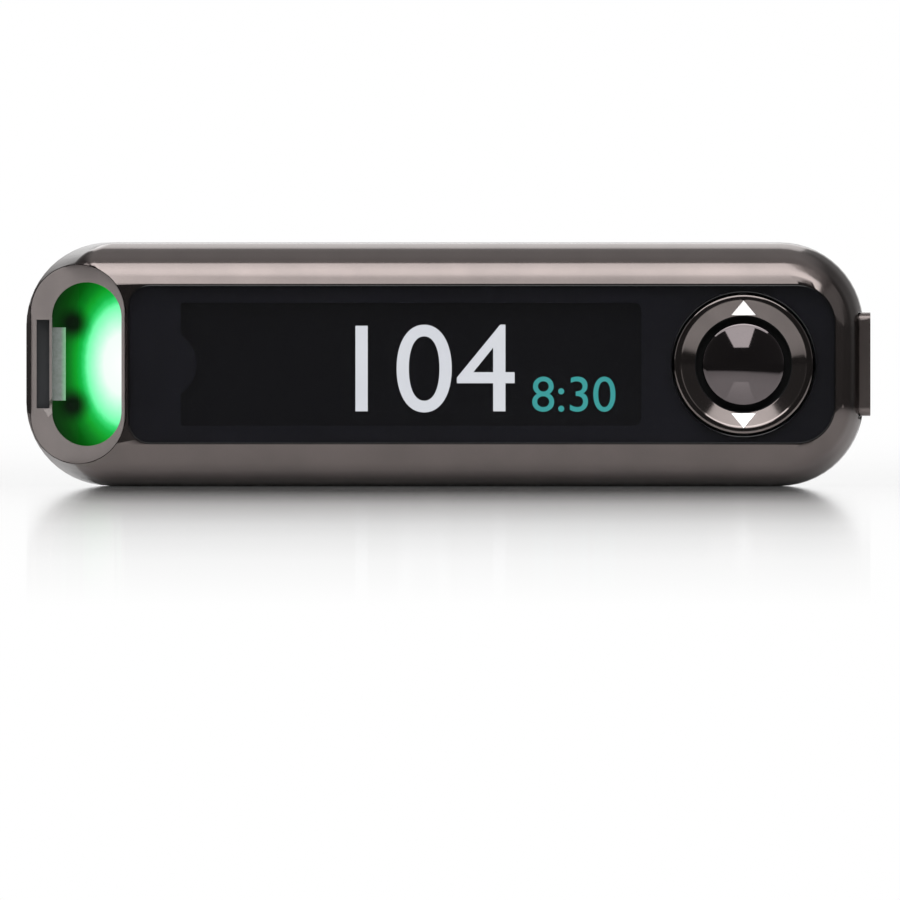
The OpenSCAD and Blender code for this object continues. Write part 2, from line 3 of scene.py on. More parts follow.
import bmesh
import bpy
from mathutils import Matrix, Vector


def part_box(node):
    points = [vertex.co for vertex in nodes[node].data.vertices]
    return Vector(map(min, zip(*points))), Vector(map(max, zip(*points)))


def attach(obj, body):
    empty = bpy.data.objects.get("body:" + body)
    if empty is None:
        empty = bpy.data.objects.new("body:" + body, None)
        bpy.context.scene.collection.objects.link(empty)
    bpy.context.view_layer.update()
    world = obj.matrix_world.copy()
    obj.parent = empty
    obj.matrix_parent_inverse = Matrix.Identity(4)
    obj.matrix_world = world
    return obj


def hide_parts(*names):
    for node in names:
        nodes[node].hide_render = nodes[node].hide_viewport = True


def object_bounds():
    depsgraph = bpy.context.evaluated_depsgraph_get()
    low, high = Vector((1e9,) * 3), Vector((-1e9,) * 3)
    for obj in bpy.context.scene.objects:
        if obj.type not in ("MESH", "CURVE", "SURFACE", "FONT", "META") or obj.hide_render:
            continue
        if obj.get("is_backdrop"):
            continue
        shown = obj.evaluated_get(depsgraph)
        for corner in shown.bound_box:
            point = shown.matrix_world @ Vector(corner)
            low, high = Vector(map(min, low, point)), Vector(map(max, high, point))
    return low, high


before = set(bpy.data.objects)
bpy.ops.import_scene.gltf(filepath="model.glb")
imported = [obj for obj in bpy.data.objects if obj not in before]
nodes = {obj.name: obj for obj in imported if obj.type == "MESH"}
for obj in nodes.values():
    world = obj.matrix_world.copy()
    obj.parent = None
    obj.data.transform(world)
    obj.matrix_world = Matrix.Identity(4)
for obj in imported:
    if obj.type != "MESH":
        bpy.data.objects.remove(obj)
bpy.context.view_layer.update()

# ------------------------------------------------------------------ sizes, in millimetres
# Pieces are modelled in millimetres and brought down to metres when they are finished.


def size_of(node):
    low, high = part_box(node)
    return low * 1000, high * 1000


lens_low, lens_high = size_of("front_lens")
shell_low, shell_high = size_of("front_housing")
door_low, door_high = size_of("battery_door")
guide_low, guide_high = size_of("light_guide")
cell_low, cell_high = size_of("coin_cells")
ring_low, ring_high = size_of("scroll_ring")
board_low = size_of("circuit_board")[0]

FACE = lens_low.y                   # front plane of the lens and the shell
BACK = -FACE
MID = (shell_low.z + shell_high.z) / 2
LEFT = shell_low.x
RIGHT = shell_high.x
TIP = door_high.x
SEAM = shell_high.y                 # parting line between the two shells
BODY_H = shell_high.z - shell_low.z
CORNER = 9.6                        # corner radius of the body
LENS_H = lens_high.z - lens_low.z
LENS_T = 0.96
LENS_GAP = 0.05                     # air between the lens and its recess
LENS_R = 2.45, 4.45                 # corner radii of the lens at its two ends
BEVEL = (BODY_H - LENS_H) / 2       # height of the bevel above and below the lens
END_BEVEL = 3.3                     # the same at the button end
WALL = 1.4

FACET_X = lens_low.x - 0.4          # where the slanted port face meets the front
SLANT = radians(43)
PORT_X = FACET_X - 4.45
PORT_W, PORT_H = 8.1, guide_high.z - guide_low.z + 0.1
BEZEL_X = FACET_X - 5.5
BEZEL_W, BEZEL_H = 10.9, PORT_H + 4
BEZEL_T = 1.3
CUP_WALL = 0.6
NOTCH_X0, NOTCH_X1 = FACET_X - 10.3, FACET_X - 8.8
NOTCH_HALF = 5.1                    # half the height of the notch in the ring
TONGUE_X, TONGUE_HALF = PORT_X - 2.5, 4.2
GLOW_X = FACET_X - 0.4              # where the light is brightest
GLOW_REACH = 9.0                    # how far it carries from there
PAINTED_SHADE_X, PAINTED_SHADE_HALF = FACET_X - 6.1, 4.7    # centre and half height of the painted shade beside the tongue

BUTTON_X = (ring_low.x + ring_high.x) / 2
RING_R = LENS_H / 2 - 1.07
HOLE_R = RING_R - 2.55
OK_R = HOLE_R - 0.78
WELL_R = RING_R + 0.37

WINDOW_X0 = FACET_X + 6.4
WINDOW_X1 = BUTTON_X - RING_R - 3.67
WINDOW_H = LENS_H - 4.1

PANEL_FRONT = size_of("display_panel")[0].y

STRIP_Y = SEAM - 1.25               # the surface that a test strip slides on
CUP_FLOOR = SEAM - 0.6
DOOR_IN = BACK - 1.3                # inner face of the door
DOOR_X0 = door_low.x
DOOR_H = 20.8
DOOR_GAP = 0.1                      # air round the door
RAIL = 0.6                          # the door's rails stand out and are as thick
GRIPS, GRIP_PITCH = 6, 1.6          # thumb grooves
LEDGE_Y = size_of("battery_tray")[1].y
LIP_H, LIP_T, LIP_SKIN = 11.9, 2.1, 1.3
LIP_Y, LIP_FRONT = SEAM + 0.6, door_low.y
LIP_GAP = 0.03
CELL_R = (cell_high.z - cell_low.z) / 2
CELL_X = (cell_low.x + CELL_R, cell_high.x - CELL_R)
SCREWS = [(x, MID + side * z) for x, z in ((FACET_X + 2.4, 7.3), (RIGHT - 4.6, 6.5))
          for side in (-1, 1)]


# ------------------------------------------------------------------ modelling helpers

def only(*pieces):
    bpy.ops.object.select_all(action="DESELECT")
    for piece in pieces:
        piece.select_set(True)
    bpy.context.view_layer.objects.active = pieces[0]


def edit(piece):
    only(piece)
    bpy.ops.object.mode_set(mode="EDIT")


def leave():
    bpy.ops.object.mode_set(mode="OBJECT")


def pick(piece, test):
    """In edit mode, selects the corners for which the test is true."""
    bpy.ops.mesh.select_mode(type="VERT")
    bpy.ops.mesh.select_all(action="DESELECT")
    mesh = bmesh.from_edit_mesh(piece.data)
    for corner in mesh.verts:
        corner.select = test(corner.co)
    mesh.select_flush_mode()
    bmesh.update_edit_mesh(piece.data)


def round_along_x(piece, radius, steps=8):
    """Rounds the edges of a block that run along X."""
    edit(piece)
    bpy.ops.mesh.select_mode(type="EDGE")
    bpy.ops.mesh.select_all(action="DESELECT")
    for side in bmesh.from_edit_mesh(piece.data).edges:
        side.select_set(abs(side.verts[0].co.x - side.verts[1].co.x) > 0.1)
    bmesh.update_edit_mesh(piece.data)
    bpy.ops.mesh.bevel(offset=radius, segments=steps)
    leave()


def rounded_sheet(x0, x1, z0, z1, y, r0, r1, steps=14):
    """Upright rounded rectangle with its own corner radius at each end."""
    bpy.ops.object.select_all(action="DESELECT")
    bpy.ops.mesh.primitive_plane_add(size=1, location=((x0 + x1) / 2, y, (z0 + z1) / 2),
                                     rotation=(pi / 2, 0, 0))
    sheet = bpy.context.object
    sheet.scale = (x1 - x0, z1 - z0, 1)
    bpy.ops.object.transform_apply(location=True, rotation=True, scale=True)
    edit(sheet)
    for end, radius in ((x0, r0), (x1, r1)):
        pick(sheet, lambda co: abs(co.x - end) < 1e-4)
        bpy.ops.mesh.bevel(offset=radius * 0.9999, segments=steps, affect="VERTICES")
    bpy.ops.mesh.select_all(action="SELECT")
    bpy.ops.mesh.remove_doubles(threshold=1e-4)
    leave()
    return sheet


def rounded_plate(x0, x1, z0, z1, y0, y1, r0, r1, steps=14):
    """Rounded sheet pulled back into a plate."""
    plate = rounded_sheet(x0, x1, z0, z1, y0, r0, r1, steps)
    edit(plate)
    bpy.ops.mesh.select_all(action="SELECT")
    bpy.ops.mesh.extrude_region_move(TRANSFORM_OT_translate={"value": (0, y1 - y0, 0)})
    bpy.ops.mesh.select_all(action="SELECT")
    bpy.ops.mesh.normals_make_consistent(inside=False)
    leave()
    return plate


def slot_plate(cx, width, height, y0, y1, steps=24):
    """Upright slot shape, round at top and bottom."""
    return rounded_plate(cx - width / 2, cx + width / 2, MID - height / 2, MID + height / 2,
                         y0, y1, width / 2, width / 2, steps)


def block(low, high):
    bpy.ops.object.select_all(action="DESELECT")
    middle = [(a + b) / 2 for a, b in zip(low, high)]
    bpy.ops.mesh.primitive_cube_add(size=1, location=middle)
    cube = bpy.context.object
    cube.scale = [b - a for a, b in zip(low, high)]
    bpy.ops.object.transform_apply(location=True, rotation=True, scale=True)
    return cube


def bar(x, z, radius, y0, y1, steps=96):
    """Round bar that runs from front to back."""
    bpy.ops.object.select_all(action="DESELECT")
    bpy.ops.mesh.primitive_cylinder_add(vertices=steps, radius=radius, depth=y1 - y0,
                                        location=(x, (y0 + y1) / 2, z),
                                        rotation=(pi / 2, 0, 0))
    bpy.ops.object.transform_apply(location=True, rotation=True, scale=True)
    return bpy.context.object


def turned(profile, steps=144):
    """Ring or button turned about the buttons' axis from (radius, depth below the face)."""
    radius, depth = profile[0]
    bpy.ops.object.select_all(action="DESELECT")
    bpy.ops.mesh.primitive_circle_add(vertices=steps, radius=radius,
                                      location=(BUTTON_X, FACE + depth, MID),
                                      rotation=(pi / 2, 0, 0))
    bpy.ops.object.transform_apply(location=True, rotation=True, scale=True)
    piece = bpy.context.object
    edit(piece)
    bpy.ops.mesh.select_all(action="SELECT")
    for r, d in profile[1:]:
        bpy.ops.mesh.extrude_region_move(TRANSFORM_OT_translate={"value": (0, d - depth, 0)})
        bpy.ops.transform.resize(value=(r / radius, 1, r / radius),
                                 center_override=(BUTTON_X, FACE + d, MID))
        radius, depth = r, d
    leave()
    return piece


def close_turned(piece, is_ring=False):
    """Joins the two ends of a ring's turned profile, or caps both ends of a button's."""
    edit(piece)
    bpy.ops.mesh.select_mode(type="EDGE")
    bpy.ops.mesh.select_non_manifold(extend=False, use_boundary=True)
    if is_ring:
        bpy.ops.mesh.bridge_edge_loops()
    else:
        bpy.ops.mesh.edge_face_add()
    bpy.ops.mesh.select_all(action="SELECT")
    bpy.ops.mesh.normals_make_consistent(inside=False)
    leave()
    return piece


def combine(piece, other, how="DIFFERENCE"):
    """Cuts, adds or keeps what is common with the other solid, which is used up."""
    only(piece)
    modifier = piece.modifiers.new("shape", "BOOLEAN")
    modifier.operation = how
    modifier.solver = "EXACT"
    modifier.object = other
    bpy.ops.object.modifier_apply(modifier="shape")
    bpy.data.objects.remove(other)
    return piece


def ease_edges(piece, width, segments=2, angle=38):
    """Rounds every sharp edge a little, as a mould or a polishing wheel leaves it."""
    only(piece)
    modifier = piece.modifiers.new("eased", "BEVEL")
    modifier.width = width
    modifier.segments = segments
    modifier.limit_method = "ANGLE"
    modifier.angle_limit = radians(angle)
    modifier.use_clamp_overlap = True
    modifier.miter_outer = "MITER_ARC"
    bpy.ops.object.modifier_apply(modifier="eased")
    return piece


def finished(piece, name, body, material, *stands_for, smooth=32):
    """Brings a piece down to metres, smooths it, and hands it to its body."""
    only(piece)
    piece.name = name
    piece.data.name = name
    piece.scale = (0.001, 0.001, 0.001)
    bpy.ops.object.transform_apply(location=True, rotation=True, scale=True)
    bpy.ops.object.shade_smooth_by_angle(angle=radians(smooth))
    flat_faces_lead = piece.modifiers.new("flat_faces_lead", "WEIGHTED_NORMAL")
    flat_faces_lead.keep_sharp = True
    flat_faces_lead.weight = 60
    bpy.ops.object.modifier_apply(modifier="flat_faces_lead")
    piece.data.materials.clear()
    piece.data.materials.append(material)
    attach(piece, body)
    if stands_for:
        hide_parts(*stands_for)
    return piece


# ------------------------------------------------------------------ materials

def colour(code):
    """sRGB hex to linear red, green, blue and alpha."""
    out = []
    for i in (1, 3, 5):
        v = int(code[i:i + 2], 16) / 255
        out.append(v / 12.92 if v <= 0.04045 else ((v + 0.055) / 1.055) ** 2.4)
    return (*out, 1)


def add_node(tree, kind, inputs=None, stops=(), **settings):
    """Adds a node, sets it, and links or fills its inputs; stops are a ramp's colours."""
    node = tree.nodes.new(kind)
    for key, value in settings.items():
        setattr(node, key, value)
    for key, value in (inputs or {}).items():
        if isinstance(value, bpy.types.NodeSocket):
            tree.links.new(value, node.inputs[key])
        else:
            node.inputs[key].default_value = value
    for _ in stops[2:]:
        node.color_ramp.elements.new(1)
    for number, (position, code) in enumerate(stops):
        node.color_ramp.elements[number].position = position
        node.color_ramp.elements[number].color = colour(code)
    return node


def new_material(name, **shader_values):
    """Empty material with its shader; returns it, its tree, the shader and the coordinates."""
    material = bpy.data.materials.new(name)
    material.use_nodes = True
    tree = material.node_tree
    shader = tree.nodes["Principled BSDF"]
    for key, value in shader_values.items():
        shader.inputs[key.replace("_", " ")].default_value = value
    where = add_node(tree, "ShaderNodeTexCoord").outputs["Object"]
    return material, tree, shader, where


def moulded(name, dark, pale, grain_mm=0.35, rough=0.45, bump_mm=0.004, **values):
    """Moulded plastic: faint cloudy tone, and the fine spark texture of the tool."""
    material, tree, shader, where = new_material(name, Roughness=rough, **values)
    cloud = add_node(tree, "ShaderNodeTexNoise", {"Vector": where, "Scale": 90, "Detail": 2})
    grain = add_node(tree, "ShaderNodeTexNoise",
                     {"Vector": where, "Scale": 1000 / grain_mm, "Detail": 2})
    tones = add_node(tree, "ShaderNodeValToRGB", {0: cloud.outputs[0]},
                     ((0.3, dark), (0.7, pale)))
    tree.links.new(tones.outputs[0], shader.inputs["Base Color"])
    bump = add_node(tree, "ShaderNodeBump", {"Height": grain.outputs[0], "Strength": 0.5,
                                             "Distance": bump_mm / 1000})
    tree.links.new(bump.outputs[0], shader.inputs["Normal"])
    return material


def lacquered(name, deep, pale, rough, metal=1.0, coat=0.3):
    """Dark metallic lacquer on moulded ABS, buffed until it mirrors: its flakes are too fine
    to tell apart, so that only a soft drift of tone and a trace of orange peel are left."""
    material, tree, shader, where = new_material(name, Metallic=metal, Roughness=rough,
                                                 Coat_Weight=coat, Coat_Roughness=0.05)
    drift = add_node(tree, "ShaderNodeTexNoise", {"Vector": where, "Scale": 1000 / 4.5,
                                                  "Detail": 2})
    flakes = add_node(tree, "ShaderNodeTexVoronoi", {"Vector": where, "Scale": 1000 / 0.12})
    tone = add_node(tree, "ShaderNodeMath", {0: flakes.outputs["Distance"], 1: 0.25,
                                             2: drift.outputs[0]}, operation="MULTIPLY_ADD")
    tones = add_node(tree, "ShaderNodeValToRGB", {0: tone.outputs[0]},
                     ((0.35, pale), (0.9, deep)))
    tree.links.new(tones.outputs[0], shader.inputs["Base Color"])
    peel = add_node(tree, "ShaderNodeTexNoise", {"Vector": where, "Scale": 1000 / 1.6,
                                                 "Detail": 1})
    bump = add_node(tree, "ShaderNodeBump", {"Height": peel.outputs[0], "Strength": 0.1,
                                             "Distance": 0.000004})
    tree.links.new(bump.outputs[0], shader.inputs["Normal"])
    return material


def plated(name, deep, pale, rough=0.25, streak_mm=0.08):
    """Rolled or plated metal: faint rolling streaks along the strip."""
    material, tree, shader, where = new_material(name, Metallic=1.0, Roughness=rough)
    stretched = add_node(tree, "ShaderNodeMapping", {"Vector": where, "Scale": (0.12, 1, 1)})
    streaks = add_node(tree, "ShaderNodeTexNoise", {
        "Vector": stretched.outputs[0], "Scale": 1000 / streak_mm, "Detail": 3})
    tones = add_node(tree, "ShaderNodeValToRGB", {0: streaks.outputs[0]},
                     ((0.35, deep), (0.65, pale)))
    tree.links.new(tones.outputs[0], shader.inputs["Base Color"])
    bump = add_node(tree, "ShaderNodeBump", {"Height": streaks.outputs[0], "Strength": 0.2,
                                             "Distance": 0.000003})
    tree.links.new(bump.outputs[0], shader.inputs["Normal"])
    return material


shell_lacquer = lacquered("buffed_lacquer_gunmetal", "#5a5351", "#625a58", 0.18)
back_lacquer = lacquered("satin_lacquer_gunmetal", "#5b5452", "#615957", 0.32)
bezel_lacquer = lacquered("matt_lacquer_bezel", "#6c6563", "#776f6d", 0.45, 0.25, 0)
ring_lacquer = lacquered("mirror_lacquer_ring", "#625b59", "#6d6563", 0.09)
cap_lacquer = lacquered("mirror_lacquer_button", "#565051", "#5e5758", 0.05)

# ABS with white pigment, filled into the ring: flat white with a soft sheen.
mark_white = moulded("white_abs", "#fbf9f7", "#ffffff", rough=0.5, bump_mm=0.0005)
# Ink screen printed on the back of the lens: near black with a blue cast, quite flat.
mask_ink = moulded("screen_ink_black", "#0f0f14", "#13131a", grain_mm=0.2, rough=0.8,
                   bump_mm=0.0005, Specular_IOR_Level=0.15)
# Silicone skirt round the centre button: soft, flat and quite black.
skirt_black = moulded("black_silicone", "#050506", "#0a0a0b", rough=0.75,
                      Specular_IOR_Level=0.2)
guide_plastic = moulded("black_acetal", "#1f2022", "#2a2b2e", rough=0.4)
tray_plastic = moulded("black_abs_tray", "#1b1c1e", "#26272a")
buzzer_plastic = moulded("black_nylon", "#121315", "#1b1c1e", rough=0.5)
chip_epoxy = moulded("chip_epoxy", "#1c1d20", "#2b2c30", grain_mm=0.12, rough=0.55)
connector_plastic = moulded("ivory_lcp", "#cfcbc0", "#e0dcd2", rough=0.5)
socket_plastic = moulded("ivory_nylon", "#dbd6c8", "#ebe7da", rough=0.5)
carrier_plastic = moulded("pale_polycarbonate", "#bfc1be", "#d2d4d1", rough=0.5)
foam = moulded("black_foam", "#1a1a1c", "#303033", grain_mm=0.3, rough=0.95, bump_mm=0.06)
gold = plated("gold_plated_spring", "#b98a34", "#dcb45c", 0.22)
nickel = plated("nickel_plated_steel", "#b6ad93", "#d6ccb0", 0.25)
cell_steel = plated("stainless_cell_can", "#a9abae", "#cfd1d3", 0.22)
tin = plated("tinned_steel_can", "#9fa1a4", "#c2c4c6", 0.3)
switch_steel = plated("stamped_stainless", "#b0b2b5", "#cfd1d3", 0.25)
zinc = plated("zinc_plated_steel", "#77797d", "#94969a", 0.32)

# Clear acrylic with a hard coat: polished, water clear, with a smoky tint.
lens_acrylic, tree, shader, where = new_material(
    "hard_coated_acrylic", Roughness=0.02, IOR=1.49, Transmission_Weight=1.0)
haze = add_node(tree, "ShaderNodeTexNoise", {"Vector": where, "Scale": 60, "Detail": 2})
tint = add_node(tree, "ShaderNodeValToRGB", {0: haze.outputs[0]},
                ((0.3, "#e6e6ec"), (0.7, "#eeeef2")))
tree.links.new(tint.outputs[0], shader.inputs["Base Color"])

# The same acrylic with its sawn edge inked black and buffed, so that no light leaks in there.
lens_edge_ink = moulded("buffed_black_edge", "#08080a", "#0e0e11", grain_mm=0.3, rough=0.12,
                        bump_mm=0.0003)

WAVE = 1000 * pi / 10               # a wave texture at this scale has bands 1 mm apart

# Display glass: black and even, with the faint columns of its picture dots. The real ones are
# 0.2 mm apart, and are drawn 0.4 mm apart so that they can show.
display_glass, tree, shader, where = new_material("display_glass", Roughness=0.12, IOR=1.5)
columns = add_node(tree, "ShaderNodeTexWave", {"Vector": where, "Scale": WAVE / 0.4},
                   wave_type="BANDS", bands_direction="X")
tones = add_node(tree, "ShaderNodeValToRGB", {0: columns.outputs["Color"]},
                 ((0.2, "#030305"), (0.8, "#08080b")))
tree.links.new(tones.outputs[0], shader.inputs["Base Color"])

# Frosted acrylic lit in green from behind: white hot at the inner edge of the middle, through
# mint to deep green. The cup's walls wear the same light as painted light, and painted shade
# turns it nearly black in two spots beside the tongue.
glow, tree, shader, where = new_material("frosted_acrylic_lit_and_painted_cup_light", Roughness=0.5, IOR=1.49,
                                         Specular_IOR_Level=0.1)
shader.inputs["Base Color"].default_value = colour("#030804")
centred = add_node(tree, "ShaderNodeMapping", {
    "Vector": where, "Location": (-GLOW_X / GLOW_REACH, 0, -0.6 * MID / GLOW_REACH),
    "Scale": (1000 / GLOW_REACH, 0, 0.6 * 1000 / GLOW_REACH)})
away = add_node(tree, "ShaderNodeVectorMath", {0: centred.outputs[0]}, operation="LENGTH")
frost = add_node(tree, "ShaderNodeTexNoise", {"Vector": where, "Scale": 1500, "Detail": 2})
soft = add_node(tree, "ShaderNodeMath", {
    0: frost.outputs[0], 1: 0.02, 2: away.outputs["Value"]}, operation="MULTIPLY_ADD")
greens = add_node(tree, "ShaderNodeValToRGB", {0: soft.outputs[0]}, (
    (0.0, "#ffffff"), (0.24, "#f4fff9"), (0.31, "#ceffe5"), (0.38, "#a6fece"),
    (0.46, "#72ffac"), (0.5, "#34dc72"), (0.55, "#0bb442"), (0.61, "#059d26"),
    (0.68, "#047a1c"), (0.77, "#04560e"), (0.86, "#033f07"), (1.0, "#0a2a0c")))
# painted shade: the glow drops to near black round two spots beside the tongue
across = add_node(tree, "ShaderNodeMapping", {
    "Vector": where, "Location": (-PAINTED_SHADE_X, 0, -MID), "Scale": (1000, 0, 1000)})
folded = add_node(tree, "ShaderNodeVectorMath", {0: across.outputs[0]}, operation="ABSOLUTE")
to_painted_shade = add_node(tree, "ShaderNodeVectorMath", {0: folded.outputs[0], 1: (0, 0, PAINTED_SHADE_HALF)},
               operation="DISTANCE")
shade = add_node(tree, "ShaderNodeMapRange", {"Value": to_painted_shade.outputs["Value"], "From Min": 0.5,
                                              "From Max": 2.6, "To Min": 0.04},
                 interpolation_type="SMOOTHSTEP")
shaded = add_node(tree, "ShaderNodeVectorMath", {0: greens.outputs[0], 1: shade.outputs[0]},
                  operation="MULTIPLY")
tree.links.new(shaded.outputs[0], shader.inputs["Emission Color"])
shader.inputs["Emission Strength"].default_value = 1.0

# Tongue under the strip: matt lacquer, with painted green light on it where it meets the glow.
tongue_lacquer_and_painted_light, tree, shader, where = new_material("matt_lacquer_tongue_painted_light", Roughness=0.45,
                                                   Metallic=0.25)
fine = add_node(tree, "ShaderNodeTexNoise", {"Vector": where, "Scale": 3000, "Detail": 2})
tones = add_node(tree, "ShaderNodeValToRGB", {0: fine.outputs[0]},
                 ((0.3, "#7d7f7e"), (0.7, "#8a8b8c")))
tree.links.new(tones.outputs[0], shader.inputs["Base Color"])
to_light = add_node(tree, "ShaderNodeSeparateXYZ", {0: where}).outputs["X"]
painted_light_share = add_node(tree, "ShaderNodeMapRange", {
    "Value": to_light, "From Min": (FACET_X - 8.2) / 1000, "From Max": (FACET_X - 6.8) / 1000})
# painted green light, given as emission, strongest toward the glow
painted_green_light = add_node(tree, "ShaderNodeValToRGB", {0: painted_light_share.outputs[0]},
                  ((0, "#000000"), (0.5, "#0a1c10"), (1, "#24a050")))
tree.links.new(painted_green_light.outputs[0], shader.inputs["Emission Color"])
shader.inputs["Emission Strength"].default_value = 1.0

# Clear epoxy lamp body over a bright chip.
lamp, tree, shader, where = new_material("clear_epoxy_lamp", Roughness=0.15, IOR=1.5)
cloud = add_node(tree, "ShaderNodeTexNoise", {"Vector": where, "Scale": 1500})
tones = add_node(tree, "ShaderNodeValToRGB", {0: cloud.outputs[0]},
                 ((0.3, "#e4efe0"), (0.7, "#f4faf0")))
tree.links.new(tones.outputs[0], shader.inputs["Base Color"])

# Glass fibre board under green solder mask: copper tracks 0.6 mm apart show as paler lines.
board, tree, shader, where = new_material("solder_mask_board", Roughness=0.35, Coat_Weight=0.4)
upright = add_node(tree, "ShaderNodeMapping", {"Vector": where, "Rotation": (pi / 2, 0, 0)})
tracks = add_node(tree, "ShaderNodeTexBrick", {
    "Vector": upright.outputs[0], "Scale": 1000 / 2.5, "Mortar Size": 0.03,
    "Color1": colour("#1a6843"), "Color2": colour("#17603d"),
    "Mortar": colour("#2f8a5c"), "Brick Width": 1.4, "Row Height": 0.25})
tree.links.new(tracks.outputs["Color"], shader.inputs["Base Color"])

# Polyimide film with copper tracks 1 mm apart showing through in amber.
film, tree, shader, where = new_material("polyimide_film", Roughness=0.3, Coat_Weight=0.3)
lines = add_node(tree, "ShaderNodeTexWave", {"Vector": where, "Scale": WAVE / 1},
                 wave_type="BANDS", bands_direction="X")
tones = add_node(tree, "ShaderNodeValToRGB", {0: lines.outputs["Color"]},
                 ((0.35, "#a5651d"), (0.65, "#c98a3c")))
tree.links.new(tones.outputs[0], shader.inputs["Base Color"])


def lit(name, code):
    """Lit display dots: even light of one hue, over dark glass with a fine speckle."""
    material, tree, shader, where = new_material(name, Roughness=0.6)
    dots = add_node(tree, "ShaderNodeTexNoise", {"Vector": where, "Scale": 1000 / 0.4})
    tones = add_node(tree, "ShaderNodeValToRGB", {0: dots.outputs[0]},
                     ((0.3, "#0e0e0e"), (0.7, "#121212")))
    tree.links.new(tones.outputs[0], shader.inputs["Base Color"])
    shader.inputs["Emission Color"].default_value = colour(code)
    shader.inputs["Emission Strength"].default_value = 1.0
    return material


digit_white = lit("lit_dots_white", "#eef1f2")
digit_teal = lit("lit_dots_teal", "#35a7a2")

# ------------------------------------------------------------------ front shell

# Outlines of the front shell from the face to the seam: depth, its two ends, how far it is set
# in at top and bottom, and its corner radii at the two ends.
shell_rims = [
    (FACE + 0.1, FACET_X - 1.6, RIGHT - END_BEVEL, BEVEL - 0.15, 0.4, 4.6),
    (FACE + 0.7, FACET_X - 3.1, RIGHT - 0.74 * END_BEVEL, 0.7 * BEVEL, 0.5, 6.3),
    (FACE + 1.55, FACET_X - 4.6, RIGHT - 0.47 * END_BEVEL, 0.42 * BEVEL, 1.2, 7.7),
    (FACE + 3.3, FACET_X - 6.35, RIGHT - 0.2 * END_BEVEL, 0.16 * BEVEL, 3.6, 9),
    (FACE + 5.2, FACET_X - 8.0, RIGHT, 0, 7.0, CORNER),
    (SEAM - 0.02, LEFT, RIGHT, 0, CORNER, CORNER),
]


def between(rims, reach=0.3, steps=4):
    """Rounds each ridge of a stack of outlines and leaves the slopes between straight."""
    out = [rims[0]]
    for before, here, after in zip(rims, rims[1:], rims[2:]):
        for k in range(steps + 1):
            t = k / steps
            out.append(tuple(h + reach * ((1 - t) ** 2 * (b - h) + t * t * (a - h))
                             for b, h, a in zip(before, here, after)))
    return out + [rims[-1]]


def lofted(rims, steps=14):
    """Skin stretched over a stack of rounded outlines."""
    sheets = [rounded_sheet(x0, x1, inset, 2 * MID - inset, y, r0, r1, steps)
              for y, x0, x1, inset, r0, r1 in rims]
    only(*sheets)
    bpy.ops.object.join()
    skin = sheets[0]
    edit(skin)
    bpy.ops.mesh.select_all(action="SELECT")
    bpy.ops.mesh.delete(type="EDGE_FACE")
    bpy.ops.mesh.select_all(action="SELECT")
    bpy.ops.mesh.convex_hull()
    bpy.ops.mesh.select_all(action="SELECT")
    bpy.ops.mesh.dissolve_limited(angle_limit=radians(0.3))
    bpy.ops.mesh.normals_make_consistent(inside=False)
    leave()
    return skin


def below_port_face(piece, depth, keep_below=True):
    """Cuts a piece off along the plane that lies so deep below the slanted port face."""
    edit(piece)
    bpy.ops.mesh.select_all(action="SELECT")
    inward = Vector((sin(SLANT), cos(SLANT), 0))
    point = Vector((FACET_X, FACE, MID)) + inward * depth
    bpy.ops.mesh.bisect(plane_co=point, plane_no=inward, use_fill=True,
                        clear_inner=keep_below, clear_outer=not keep_below)
    bpy.ops.mesh.select_all(action="SELECT")
    bpy.ops.mesh.normals_make_consistent(inside=False)
    leave()
    return piece


front = lofted(between(shell_rims))
hollow = lofted([
    (FACE + 2.0, FACET_X + 2.1, RIGHT - END_BEVEL - 1, BEVEL - 0.2, 1.5, 4),
    (FACE + 4.4, FACET_X - 0.2, RIGHT - WALL - 0.5, WALL + 0.5, 5, 7.5),
    (FACE + 6.45, FACET_X - 1.6, RIGHT - WALL, WALL, 6.5, CORNER - WALL),
    (SEAM + 0.1, FACET_X - 4, RIGHT - WALL, WALL, 7, CORNER - WALL)], steps=8)
front = combine(front, hollow)
front = combine(front, rounded_plate(lens_low.x - LENS_GAP, lens_high.x + LENS_GAP,
                                     lens_low.z - LENS_GAP, lens_high.z + LENS_GAP,
                                     FACE - 1, FACE + 1.2,
                                     LENS_R[0] + LENS_GAP, LENS_R[1] + LENS_GAP))
front = combine(front, bar(BUTTON_X, MID, WELL_R + 1.2, FACE + 1.3, FACE + 4.2), "UNION")
front = combine(front, rounded_plate(WINDOW_X0 - 0.6, WINDOW_X1 + 0.6,
                                     MID - WINDOW_H / 2 - 0.6, MID + WINDOW_H / 2 + 0.6,
                                     FACE + 1, FACE + 2.3, 1, 1))
front = combine(front, bar(BUTTON_X, MID, WELL_R, FACE - 1, FACE + 4.5))
seat = slot_plate(BEZEL_X, BEZEL_W + 0.16, BEZEL_H + 0.16, FACE - 4, SEAM + 1)
front = combine(front, below_port_face(seat, BEZEL_T, keep_below=False))
front = combine(front, slot_plate(PORT_X, PORT_W + 2 * CUP_WALL + 0.1,
                                  PORT_H + 2 * CUP_WALL + 0.1, FACE - 1, SEAM + 1))
front = combine(front, block(
    (TIP - LIP_SKIN - DOOR_GAP, LIP_FRONT - DOOR_GAP, MID - LIP_H / 2 - LIP_GAP),
    (TIP + 1, SEAM + 1, MID + LIP_H / 2 + LIP_GAP)))
ease_edges(front, 0.13)
finished(front, "front_shell", "meter", shell_lacquer, "front_housing")

# ------------------------------------------------------------------ back shell and door

